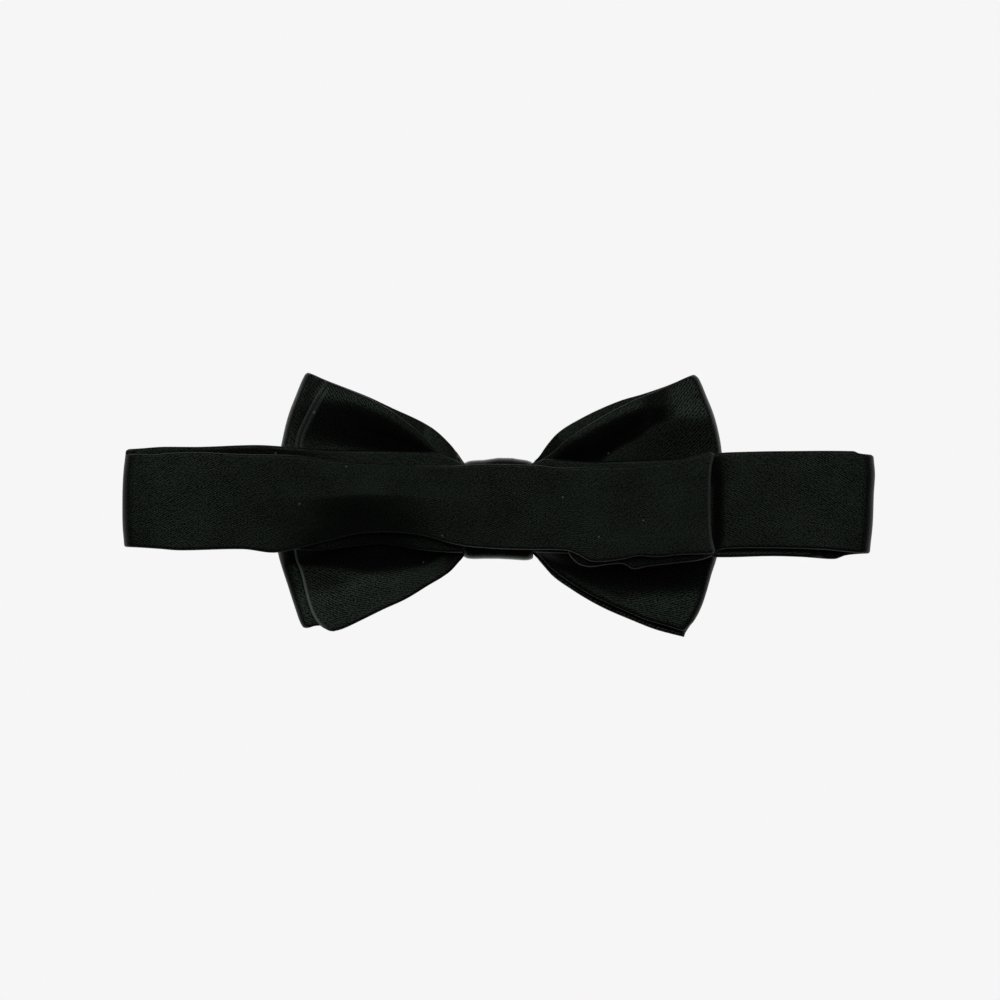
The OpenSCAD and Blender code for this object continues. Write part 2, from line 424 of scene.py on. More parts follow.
# Black silk satin backed with a fine twill: a smooth, closed face that goes dark where it turns from the
# light and catches a soft grey edge where it rolls. The real twill is about 0.3 mm apart, which is too
# fine to show from where the whole tie is seen, so it is drawn at 0.55 mm.
SATIN = ClothFinish(
    "black_silk_satin", "satin", "#030403", "#070807", Weave.TWILL, 0.55, 0.018,
    roughness=0.42, specular=0.2, sheen=0.008, gleam_low="#343D36", gleam_high="#E2FFE8", lint=0.25,
    wears_and_highlights=True,
)  # fmt: skip
# Unbleached cotton and wool canvas, plain weave: matt, with threads that stand apart.
CANVAS = ClothFinish(
    "interlining_canvas", "interlining", "#A89F8B", "#DCD5C4", Weave.PLAIN, 0.8, 0.12,
    roughness=0.9, specular=0.2, sheen=0.1,
)  # fmt: skip
# Woven nylon ground with stiff hooks: slightly glossy filaments.
HOOK_TAPE = ClothFinish(
    "nylon_hook_tape", "hook_tape", "#0B0C0B", "#1C1D1C", Weave.PLAIN, 0.6, 0.06,
    roughness=0.5, specular=0.4, sheen=0.0,
)  # fmt: skip
# Brushed nylon loops: fuzzy, so it scatters light at its edges.
LOOP_TAPE = ClothFinish(
    "nylon_loop_tape", "loop_tape", "#0D0E0E", "#232524", Weave.PILE, 0.5, 0.15,
    roughness=0.8, specular=0.25, sheen=0.4,
)  # fmt: skip
# Twisted polyester thread: two plies that catch light along their twist.
THREAD = ClothFinish(
    "polyester_thread", "thread", "#101212", "#2E3232", Weave.TWIST, 0.35, 0.05,
    roughness=0.4, specular=0.5, sheen=0.1, angle_deg=35.0,
)  # fmt: skip


# --------------------------------------------------------------------------------------------- meshes


@dataclass(frozen=True)
class Ply:
    """How a strip of cloth is made up: its thickness, rounded rim and turned seams, in mm.

    Open ends are cut flat instead of rounded.
    """

    thick: float
    rim: float = 0.8
    seam: float = 5.0
    seam_rise: float = 0.07
    open_start: bool = False
    open_end: bool = False


@dataclass
class Strip:
    """A closed strip of cloth about a middle surface.

    The surface takes a share along the strip, from 0 to 1, and a share across it, from -1 to 1, and
    gives a point in mm. length and half_width are the strip's own sizes in mm. dull takes the same shares
    and says how matt the rim is there: 0.5 is fully matt, and below 0 is polished. The painted highlight
    takes them too, and says how strongly a pale highlight colour is painted on where edges catch the light,
    from 0 to 1.
    """

    name: str
    surface: Surface
    length: float
    half_width: float
    ply: Ply
    dull: Callable[[float, float], float] = lambda s, w: 0.0
    # How strongly a pale highlight is painted on, where the edges catch the light.
    painted_highlight: Callable[[float, float], float] = lambda s, w: 0.0
    along: int = 160
    across: int = 64

    def _spread(self, p: float, half: float, open_low: bool, open_high: bool) -> tuple[float, float]:
        """Place one grid line: many in the rounded rim, some beside it and the rest spread evenly.

        Args:
            p: The line's even place, from -1 to 1.
            half: Half of the strip's size that way, in mm.
            open_low: Whether the low side ends in a flat cut instead of a rim.
            open_high: The same for the high side.

        Returns:
            The place from -1 to 1, and the share of full thickness there.
        """
        if (p < 0 and open_low) or (p > 0 and open_high):
            return p, 1.0
        rim = self.ply.rim / half
        beside = min(3.0 / half, 0.3)
        size = abs(p)
        if size < 0.7:
            return math.copysign(size / 0.7 * (1 - rim - beside), p), 1.0
        if size < 0.88:
            return math.copysign(1 - rim - beside * (0.88 - size) / 0.18, p), 1.0
        t = (size - 0.88) / 0.12 * math.pi / 2
        return math.copysign(1 - rim + rim * math.sin(t), p), math.cos(t)

    def mesh(self) -> bpy.types.Mesh:
        """Return the strip as one closed mesh with a UV map in millimetres of cloth."""
        bm = bmesh.new()
        bmesh.ops.create_grid(bm, x_segments=self.along, y_segments=self.across, size=1.0)
        uv = bm.loops.layers.uv.new("cloth")
        # How strongly a pale highlight is painted on at each vertex.
        dull = bm.verts.layers.float.new("dull")
        painted_highlight = bm.verts.layers.float.new("painted_highlight")
        columns = [self._column(2 * i / self.along - 1) for i in range(self.along + 1)]
        rows = [self._row(2 * j / self.across - 1) for j in range(self.across + 1)]
        middle = [[Vector(self.surface(s, w)) for w, _ in rows] for s, _ in columns]
        index = {v: self._cell(v) for v in bm.verts}
        for face in bm.faces:
            for loop in face.loops:
                i, j = index[loop.vert]
                loop[uv].uv = (columns[i][0] * self.length, rows[j][0] * self.half_width)
        top = list(bm.verts)
        twin = bmesh.ops.duplicate(bm, geom=list(bm.faces))["vert_map"]
        under = [twin[v] for v in top]
        for over, below in zip(top, under):
            i, j = index[over]
            share = columns[i][1] * rows[j][1]
            from_rim = self.half_width * (1 - abs(rows[j][0]))
            seam = self.ply.seam_rise * ease(self.ply.seam + 0.8, self.ply.seam, from_rim)
            lift = self._normal(middle, i, j) * ((self.ply.thick / 2 + seam) * share)
            over.co = (middle[i][j] + lift) * MM
            below.co = (middle[i][j] - lift) * MM
            over[dull] = below[dull] = self.dull(columns[i][0], rows[j][0]) * (1 - share)
            over[painted_highlight] = below[painted_highlight] = self.painted_highlight(columns[i][0], rows[j][0])
        lower = {face for v in under for face in v.link_faces}
        bmesh.ops.reverse_faces(bm, faces=list(lower))
        bmesh.ops.remove_doubles(bm, verts=bm.verts, dist=1e-7)
        holes = [e for e in bm.edges if e.is_boundary]
        for face in bm.faces:
            face.smooth = True
        if holes:
            bmesh.ops.holes_fill(bm, edges=holes, sides=0)
            for edge in holes:
                edge.smooth = False
        bmesh.ops.recalc_face_normals(bm, faces=bm.faces)
        mesh = bpy.data.meshes.new(self.name)
        bm.to_mesh(mesh)
        bm.free()
        return mesh

    def _column(self, p: float) -> tuple[float, float]:
        """Return a grid line's share along the strip, and its share of full thickness."""
        place, share = self._spread(p, self.length / 2, self.ply.open_start, self.ply.open_end)
        return (place + 1) / 2, share

    def _row(self, p: float) -> tuple[float, float]:
        """Return a grid line's share across the strip, and its share of full thickness."""
        return self._spread(p, self.half_width, False, False)

    def _cell(self, v: bmesh.types.BMVert) -> tuple[int, int]:
        """Return the grid line numbers on which an unmoved vertex lies."""
        return round((v.co.x + 1) / 2 * self.along), round((v.co.y + 1) / 2 * self.across)

    def _normal(self, middle: list[list[Vector]], i: int, j: int) -> Vector:
        """Return the middle surface's unit normal on the grid.

        Args:
            middle: The middle surface's points, by column and row.
            i: The column.
            j: The row.

        Returns:
            The unit normal.
        """
        along = middle[min(i + 1, self.along)][j] - middle[max(i - 1, 0)][j]
        across = middle[i][min(j + 1, self.across)] - middle[i][max(j - 1, 0)]
        return along.cross(across).normalized()


class Workshop:
    """Keeps the materials and puts finished meshes on the object."""

    def __init__(self) -> None:
        """Build every material once."""
        finishes = (SATIN, CANVAS, HOOK_TAPE, LOOP_TAPE, THREAD)
        self.materials = {finish.slot: finish.build() for finish in finishes}

    def add(self, name: str, mesh: bpy.types.Mesh, slot: str, *nodes: str) -> bpy.types.Object:
        """Link a mesh as a piece that stands for CAD nodes.

        Args:
            name: The piece's name, which gets visual_ before it.
            mesh: Its finished mesh, in metres and in place.
            slot: The material slot it takes its finish from.
            nodes: The CAD nodes it stands for.

        Returns:
            The piece, which has still to ride on a body.
        """
        piece = bpy.data.objects.new(f"visual_{name}", mesh)
        bpy.context.scene.collection.objects.link(piece)
        mesh.materials.clear()
        mesh.materials.append(self.materials[slot])
        if nodes:
            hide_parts(*nodes)
        LOG.info("%s: %d faces", name, len(mesh.polygons))
        return piece


# ----------------------------------------------------------------------------------------------- band


@dataclass
class BandSide:
    """One half of the neckband, from inside the knot out to its fold and back over the knot.

    x is measured outwards from the knot's middle. The lines give the upper and lower edge of each layer
    as the cloth lies, which is a little askew from one layer to the next.
    """

    sign: int
    under_top: Knots
    under_low: Knots
    flap_top: Knots
    flap_low: Knots
    fold_line: Knots
    end_line: Knots
    climb: tuple[float, float]
    slump: float
    dip: float
    lift: float
    twist: float
    droop: float
    cockle: float
    sag: float
    seed: float

    @property
    def side(self) -> str:
        """Return the side's name."""
        return "right" if self.sign > 0 else "left"

    def __post_init__(self) -> None:
        """Read the heights of the layers and the fold's place from the frame."""
        under_low, under_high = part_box(f"{self.side}_band_satin")
        fold_low, fold_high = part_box(f"{self.side}_fold_satin")
        flap_low, flap_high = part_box(f"{self.side}_flap_satin")
        self.thick = (under_high.z - under_low.z) / MM
        self.low_z = under_low.z / MM + self.thick / 2
        self.flap_z = fold_high.z / MM - self.thick / 2
        self.tip_z = flap_high.z / MM - self.thick / 2
        self.tip_x = (flap_low.x if self.sign > 0 else -flap_high.x) / MM
        self.radius = (self.flap_z - self.low_z) / 2
        reach = max(abs(fold_low.x), abs(fold_high.x)) / MM
        self.fold_x = reach - self.radius - self.thick / 2
        self.arc = math.pi * self.radius
        self.under_len = self.fold_x
        self.total = self.under_len + self.arc + self.fold_x - self.tip_x

    def point(self, length: float, w: float) -> Point:
        """Return the band's middle surface.

        Args:
            length: Distance along the band from the knot's middle, in mm.
            w: Share across the band, from -1 at the lower edge to 1 at the upper one.

        Returns:
            The point in mm.
        """
        if length < self.under_len:
            x, z, over = length, self.low_z, 0.0
        elif length < self.under_len + self.arc:
            turn = (length - self.under_len) / self.radius
            x = self.fold_x + self.radius * math.sin(turn)
            z = self.low_z + self.radius * (1 - math.cos(turn))
            over = ease(0.3 * math.pi, 0.7 * math.pi, turn)
        else:
            x = self.fold_x - (length - self.under_len - self.arc)
            z, over = self.flap_z, 1.0
        low = mix(along_line(self.under_low, x), along_line(self.flap_low, x), over)
        top = mix(along_line(self.under_top, x), along_line(self.flap_top, x), over)
        left = max(self.total - length, 0.0)
        squeeze = 1 - 0.07 * (1 - math.sqrt(1 - max(1 - left / 1.8, 0.0) ** 2))
        y = mix(low, top, (w * squeeze + 1) / 2)
        z += mix(self._under_relief(x, w, y), self._flap_relief(x, w, y), ease(0.3, 0.7, over))
        x += along_line(self.fold_line, w) * ease(self.fold_x - 12.0, self.fold_x, x)
        x += along_line(self.end_line, w) * ease(12.0, 0.0, left) * (over == 1.0)
        return self.sign * x, y, z

    def _under_relief(self, x: float, w: float, y: float) -> float:
        """Return how far the under layer stands off its flat height at a place.

        Args:
            x: Distance outwards from the knot's middle, in mm.
            w: Share across the band, from -1 to 1.
            y: Height up the chest, in mm.

        Returns:
            The distance in mm.
        """
        near_fold = ease(89.0, 84.0, x) * ease(40.0, 60.0, x)
        curl = self.lift * ease(-0.5, -1.0, w) * near_fold
        curl += self.cockle * ease(0.7, 1.05, w) * ease(96.0, 80.0, x) * ease(40.0, 60.0, x)
        sag = self.sag * max((-0.25 - w) / 0.75, 0.0) ** 1.3 * hill(x, 33.0, 12.0)
        return curl - sag + 0.2 * ripple(x, y, self.seed, 30.0) * ease(12.0, 25.0, x)

    def _flap_relief(self, x: float, w: float, y: float) -> float:
        """Return how far the upper layer stands off its flat height at a place.

        Args:
            x: Distance outwards from the knot's middle, in mm.
            w: Share across the band, from -1 to 1.
            y: Height up the chest, in mm.

        Returns:
            The distance in mm.
        """
        near, far = self.climb
        rise = (self.tip_z - self.flap_z) * ease(near, far, -x)
        over_pads = hill(x, -38.0 if self.tip_x < 0 else 38.0, 19.0)
        swell = 0.34 * ripple(x, y, self.seed + 1, 26.0) + 0.08 * ripple(x, y, self.seed + 2, 9.0)
        twist = self.twist * y * hill(x, 88.0, 13.0)
        droop = self.droop * ease(92.5, 101.0, x)
        slump = self.slump * hill(x, 37.0, 16.0) * max((0.1 - w) / 1.1, 0.0) ** 1.3
        dip = self.dip * hill(x, 57.9, 3.2) * ease(1.15, 0.3, w) * ease(-1.3, -0.7, w)
        tuck = 0.5 * ease(-0.6, -1.0, w) * hill(x, 38.0, 20.0) * (self.sign > 0)
        return rise + swell * (1 - over_pads) - slump - dip - tuck - twist - droop

    def stretch(self, start: float, end: float) -> Surface:
        """Return the surface of the band between two distances along it, as shares of that stretch."""
        return lambda s, w: self.point(mix(start, end, s), w)

    def wear(self, start: float, end: float) -> Callable[[float, float], float]:
        """Return how matt the rim is between two distances along it: most where the edge sags.

        Args:
            start: Where the stretch starts along the band, in mm.
            end: Where it ends.

        Returns:
            The rim's dullness, by share along and share across.
        """

        def matt(s: float, w: float) -> float:
            """Return the rim's dullness at a share along the stretch and one across it."""
            x = abs(self.point(mix(start, end, s), w)[0])
            return 0.36 + 0.14 * (self.sag > 0) * (w < 0) * hill(x, 38.0, 16.0)

        return matt


@dataclass
class Neckband:
    """The neckband: two sides that fold back, lap over the knot and close with a pad pair."""

    shop: Workshop
    width: float = 26.4

    def sides(self) -> tuple[BandSide, BandSide]:
        """Return the left side, which carries the long flap, and the right side.

        Returns:
            The left side and the right side.
        """
        left = BandSide(
            sign=-1,
            under_top=(
                (0, 10.4), (9.5, 11.4), (13, 12.8), (17, 14.1), (21, 14.6), (45, 15.1), (58, 15.9),
                    (66, 16.3),
                (81, 15.8), (92, 15.8), (102, 15.2),
            ),
            under_low=(
                (0, -12.0), (9.5, -13.0), (20, -12.4), (31, -10.7), (39, -11.3), (50, -12.4),
                    (70, -10.8),
                (102, -11.4),
            ),
            flap_top=(
                (-59, 14.6), (-47, 11.8), (-36, 10.6), (-25, 10.4), (-17, 10.1), (-10, 10.8), (3, 11.1),
                (16, 10.6), (43, 11.9), (54, 13.4), (70, 13.8), (81, 14.3), (89, 14.1), (94, 13.7),
                    (102, 13.9),
            ),
            flap_low=(
                (-59, -13.2), (-49, -13.5), (-43, -14.1), (-38, -13.8), (-34, -14.6), (-29, -15.3),
                (-25, -15.2), (-21.5, -13.4), (-18.5, -12.3), (-8, -12.1), (3, -11.7), (11, -10.8),
                (20, -8.4), (28, -7.4), (38, -7.8), (48, -10.2), (60, -12.9), (69, -12.0), (86, -12.3),
                (92, -11.9), (102, -11.4),
            ),
            fold_line=((-1, -1.1), (-0.5, -0.6), (0, -0.5), (0.5, -0.7), (1, -1.4)),
            end_line=((-1, -0.3), (-0.7, 0.6), (0, 1.0), (0.7, 0.7), (1, 0.0)),
            climb=(-14.0, 17.5),
            slump=3.9,
            dip=0.0,
            lift=0.0,
            twist=0.06,
            droop=1.1,
            cockle=0.7,
            sag=2.5,
            seed=3.0,
        )  # fmt: skip
        right = BandSide(
            sign=1,
            under_top=((0, 10.4), (9.5, 11.4), (13, 12.5), (26, 11.9), (60, 13.0), (102, 13.3)),
            under_low=(
                (0, -12.0), (9.5, -12.8), (22, -13.3), (60, -14.2), (74, -13.9), (82, -14.1),
                    (92, -14.7),
                (96, -13.7), (102, -13.2),
            ),
            flap_top=(
                (18, 9.2), (35, 8.8), (48, 11.5), (58, 13.8), (61, 14.2), (66, 14.4), (76, 14.6),
                    (97, 14.6),
                (98.5, 14.0), (103, 13.6),
            ),
            flap_low=(
                (18, -12.8), (20, -14.6), (22, -16.1), (25, -16.8), (29, -16.3), (33, -15.9),
                    (34.5, -16.2),
                (36.5, -17.4), (40, -16.8), (48, -15.8), (54, -15.1), (57, -14.2), (60, -12.3),
                    (63, -11.8),
                (75, -11.7), (88, -12.1), (97, -12.8), (103, -13.2),
            ),
            fold_line=((-1, -1.8), (-0.4, -1.0), (0.2, -0.7), (0.6, -0.4), (1, -0.8)),
            end_line=((-1, 0.0), (1, 0.0)),
            climb=(200.0, 201.0),
            slump=0.0,
            dip=2.3,
            lift=3.3,
            twist=0.03,
            droop=0.3,
            cockle=0.0,
            sag=0.0,
            seed=11.0,
        )  # fmt: skip
        return left, right

    def build(self) -> None:
        """Make both sides, and the short stretch that joins them inside the knot."""
        for side in self.sides():
            self._side(side)
        low, high = (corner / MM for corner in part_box("band_center"))
        length = high.x - low.x - 1.0
        strip = Strip(
            "band_center",
            lambda s, w: (mix(-length / 2, length / 2, s), -1.0 + 9.6 * w, (low.z + high.z) / 2),
            length,
            9.6,
            Ply(high.z - low.z, rim=0.6),
            along=30,
            across=30,
        )
        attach(self.shop.add("band_center", strip.mesh(), "satin", "band_center"), "bow")

    def _side(self, side: BandSide) -> None:
        """Make one side in three stretches: under layer, fold and flap.

        Args:
            side: The side to make.
        """
        name = side.side
        before = side.under_len - 7.0
        after = side.under_len + side.arc + 7.0
        stretches = (
            ("band", 9.6, before, True),
            ("fold", before, after, True),
            ("flap", after, side.total, False),
        )
        for part, start, end, cut_end in stretches:
            for layer in ("satin", "interlining"):
                label = f"{name}_{part}_{layer}"
                mesh = self._strip(side, label, start, end, cut_end).mesh()
                if part == "fold" and layer == "interlining":
                    # It is cut away round the bend, so that the band can lie flat both ways.
                    bend = (side.under_len - 0.4, side.under_len + side.arc + 0.4)
                    mesh = self._strip(side, label, start, bend[0], True).mesh()
                    bm = bmesh.new()
                    bm.from_mesh(mesh)
                    bm.from_mesh(self._strip(side, label, bend[1], end, True).mesh())
                    bm.to_mesh(mesh)
                    bm.free()
                piece = self.shop.add(label, mesh, layer, label)
                self._join(piece, side, part)

    def _strip(self, side: BandSide, label: str, start: float, end: float, cut_end: bool) -> Strip:
        """Return one layer of a stretch of the band.

        Args:
            side: The side it belongs to.
            label: The piece's name, whose last word is the layer.
            start: Where it starts, as a distance along the band in mm.
            end: Where it ends.
            cut_end: Whether it runs on into the next stretch, instead of ending in a turned hem.

        Returns:
            The strip.
        """
        fine = label.endswith("satin")
        inset = 0.0 if fine else 2.2
        length = end - start
        # The long flap's turned end gets a pale highlight painted along its hem, where it catches the light.
        end_highlight = 0.2 if fine and not cut_end and side.sign < 0 else 0.0
        thick = side.thick if fine else side.thick * 0.4
        return Strip(
            label,
            self._drawn_in(side.stretch(start, end - (0.0 if cut_end else inset)), inset),
            length,
            self.width / 2 - inset,
            Ply(
                thick,
                rim=thick / 2,
                seam=5.5,
                seam_rise=0.02 if fine else 0.0,
                open_start=True,
                open_end=cut_end,
            ),
            dull=side.wear(start, end),
            painted_highlight=lambda s, w: end_highlight * ease(0.9 / length, 0.2 / length, 1 - s),
            along=max(8, int(length / (0.62 if fine else 1.6))),
            across=84 if fine else 28,
        )

    def _drawn_in(self, surface: Surface, inset: float) -> Surface:
        """Return a surface drawn in from both edges."""
        share = 1 - inset / (self.width / 2)
        return lambda s, w: surface(s, w * share)

    def _join(self, piece: bpy.types.Object, side: BandSide, part: str) -> None:
        """Let a flap stretch ride on its body, and fix the band and fold stretches where they lie.

        Args:
            piece: The stretch's piece.
            side: The side it belongs to.
            part: band, fold or flap.
        """
        name = side.side
        if part == "flap":
            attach(piece, f"{name}_flap")
        elif part == "fold":
            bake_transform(piece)
        else:
            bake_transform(piece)


# ---------------------------------------------------------------------------------------------- wings


@dataclass(frozen=True)
class Outline:
    """The outline of one strip on one side of the knot, in mm.

    An edge line gives the distance outwards of the side edge against the share of half height, and a rim
    line gives the half height against the distance outwards.
    """

    sign: int
    edge_top: Knots
    edge_low: Knots
    rim_top: Knots
    rim_low: Knots

    def edge(self, v: float) -> float:
        """Return how far out the side edge lies at a share across, from -1 to 1."""
        return along_line(self.edge_top if v > 0 else self.edge_low, abs(v))

    def rim(self, x: float, upper: bool) -> float:
        """Return the half height at a distance outwards."""
        half = along_line(self.rim_top if upper else self.rim_low, x)
        return half - 1.6 * ease(9.6, 7.5, x)

    def plan(self, u: float, v: float, back: float = 0.0) -> tuple[float, float]:
        """Return the plan position of a place: x outwards and y.

        Args:
            u: From 0 inside the knot to 1 at the side edge.
            v: From -1 at the lower rim to 1 at the upper rim.
            back: How far inside the side edge u = 1 lies, in mm.

        Returns:
            Distance outwards, and height up the chest.
        """
        x = mix(ROOT, self.edge(v) - back, u)
        return x, v * self.rim(x, v > 0)


class Relief:
    """The heights at which the bow's layers lie, in mm above the table, by plan position."""

    def __init__(self, upper: Outline, face: Outline) -> None:
        """Take the outlines of the uppermost strip and of the one on the bow's face."""
        self.upper = upper
        self.face = face
        self.sign = upper.sign

    def _unevenness(self, x: float, y: float) -> float:
        """Return pleats that run out from the knot, and slow swells in the cloth.

        Args:
            x: Distance outwards, in mm.
            y: Height up the chest, in mm.

        Returns:
            The height to add, in mm.
        """
        out = (x - 9.5) / 50.0
        angle = math.atan2(y, max(x - 3.0, 2.0))
        pleats = 0.34 * math.sin(angle * 15.0 + self.sign) * ease(0.45, 0.05, out)
        swell = 0.32 * ripple(x * self.sign, y, 21.0, 14.0)
        return pleats + swell * ease(0.0, 0.25, out)

    def back(self, x: float, y: float) -> float:
        """Return the height of the uppermost cloth."""
        top, low = self._back_top(x, y), self._back_low(x, y)
        return mix(low, top, ease(-9.0, 9.0, y)) + self._unevenness(x, y)

    def _back_top(self, x: float, y: float) -> float:
        """Return the upper half: a rolled rim, a steep fall inside it and a flat foot by the band.

        Args:
            x: Distance outwards, in mm.
            y: Height up the chest, in mm.

        Returns:
            The height above the table, in mm.
        """
        inside = self.upper.rim(x, True) - y
        if self.sign > 0:
            foot = along_line(((9.5, 8.8), (20, 8.4), (30, 8.7), (45, 9.6), (55, 9.5), (61, 9.0)), x)
            rise = along_line(((9.5, 0.4), (14, 1.6), (18, 3.6), (22, 5.2), (30, 6.2), (38, 4.8),
                (43, 2.2), (47, 0.7), (61, 0.3)), x)  # fmt: skip
            fall = along_line(((9.5, 3.0), (20, 7.0), (27, 10.0), (33, 8.8), (38, 8.4), (43, 5.5),
                (61, 4.0)), x)
            roll = along_line(((9.5, 1.0), (20, 1.6), (30, 2.1), (40, 2.6), (46, 4.4), (61, 5.0)), x)
        else:
            foot = along_line(((9.5, 8.8), (20, 8.3), (35, 8.2), (50, 8.8), (60, 8.4)), x)
            rise = along_line(((9.5, 0.4), (16, 1.8), (20, 3.8), (26, 5.8), (32, 6.6), (38, 5.9),
                (44, 4.2), (50, 2.8), (60, 1.6)), x)  # fmt: skip
            fall = along_line(((9.5, 2.4), (18, 3.4), (22, 6.4), (30, 10.5), (38, 13.0), (45, 14.0),
                (60, 17.0)), x)  # fmt: skip
            roll = along_line(((9.5, 1.0), (20, 1.4), (30, 2.1), (40, 3.0), (50, 4.0), (60, 4.5)), x)
        z = foot + rise * ease(roll + fall, roll, inside)
        tip = ease(40.0, 50.0, x) if self.sign > 0 else 0.8 * ease(34.0, 46.0, x)
        start = 23.0 if self.sign > 0 else 26.0
        past = max(y - start, 0.0)
        tilt = 0.21 * tip * (past * past / 8.0 if past < 4.0 else past - 2.0)
        rolled = max(roll - inside, 0.0)
        lean = 0.09 * max(y - 12.0, 0.0) * ease(28.0, 40.0, x) * (self.sign > 0)
        tilt += lean * ease(start, start + 6.0, y) * 0.5
        return z + lean - 0.17 * rolled * rolled / roll * (1 - 0.5 * tip) - tilt

    def _back_low(self, x: float, y: float) -> float:
        """Return the lower half: a slope away from the band, and a floor that turns up at the rim.

        Args:
            x: Distance outwards, in mm.
            y: Height up the chest, in mm.

        Returns:
            The height above the table, in mm.
        """
        below = -y
        inside = self.upper.rim(x, False) - below
        if self.sign > 0:
            crown = along_line(((9.5, 9.6), (20, 10.2), (30, 10.4), (45, 10.0), (61, 8.4)), x)
            floor = along_line(((9.5, 8.6), (14, 7.2), (20, 5.9), (30, 5.5), (45, 5.7), (55, 6.2),
                (61, 6.2)), x)  # fmt: skip
            length = along_line(((9.5, 3.0), (16.5, 6.5), (23, 11.0), (29, 14.0), (34, 16.0),
                (44, 15.0), (61, 13.0)), x)  # fmt: skip
            start = 10.5
        else:
            crown = along_line(((9.5, 9.6), (20, 9.0), (30, 8.3), (45, 8.9), (60, 9.2)), x)
            floor = along_line(((9.5, 8.6), (14, 6.9), (20, 5.2), (30, 4.6), (45, 4.9), (60, 5.4)), x)
            length = along_line(((9.5, 3.0), (14, 5.0), (20, 8.5), (30, 11.5), (42, 9.5), (50, 8.5),
                (60, 8.0)), x)  # fmt: skip
            start = 8.5
        z = mix(crown, floor, ease(start, start + length, below))
        up = ease(13.0, -3.0, inside) * ease(10.0, 26.0, x)
        return z + (1.2 if self.sign > 0 else 3.2) * up - 0.4 * ease(0.9, 0.0, inside)

    def front(self, x: float, y: float) -> float:
        """Return the height of the lowest cloth, which is the bow's face.

        Args:
            x: Distance outwards, in mm.
            y: Height up the chest, in mm.

        Returns:
            The height above the table, in mm.
        """
        upper = y > 0
        clear = abs(y) - min(self.upper.rim(x, upper), self.face.rim(x, upper))
        mouth = ease(24.0, 9.5, x)
        z = 0.9 + 1.9 * mouth
        if upper:
            curl = along_line(((9.5, 3.0), (14, 5.0), (20, 6.6), (28, 6.6), (38, 4.4), (48, 1.8),
                (61, 1.0)), x)
        else:
            curl = along_line(((9.5, 1.0), (16, 1.6), (26, 2.4), (61, 2.4)), x)
        z += curl * ease(-7.0, -0.4, clear) * ease(9.0, 12.0, x)
        z -= (0.1 if upper else 0.0) * max(clear, 0.0)
        angle = math.atan2(y, max(x - 3.0, 2.0))
        z += 0.45 * (1 + math.sin(angle * 9.0 - self.sign)) * ease(34.0, 11.0, x)
        z += 0.9 * hill(angle, 0.0, 0.16) * ease(40.0, 14.0, x)
        return z + 0.15 * (1 + ripple(x * self.sign, y, 35.0, 14.0))


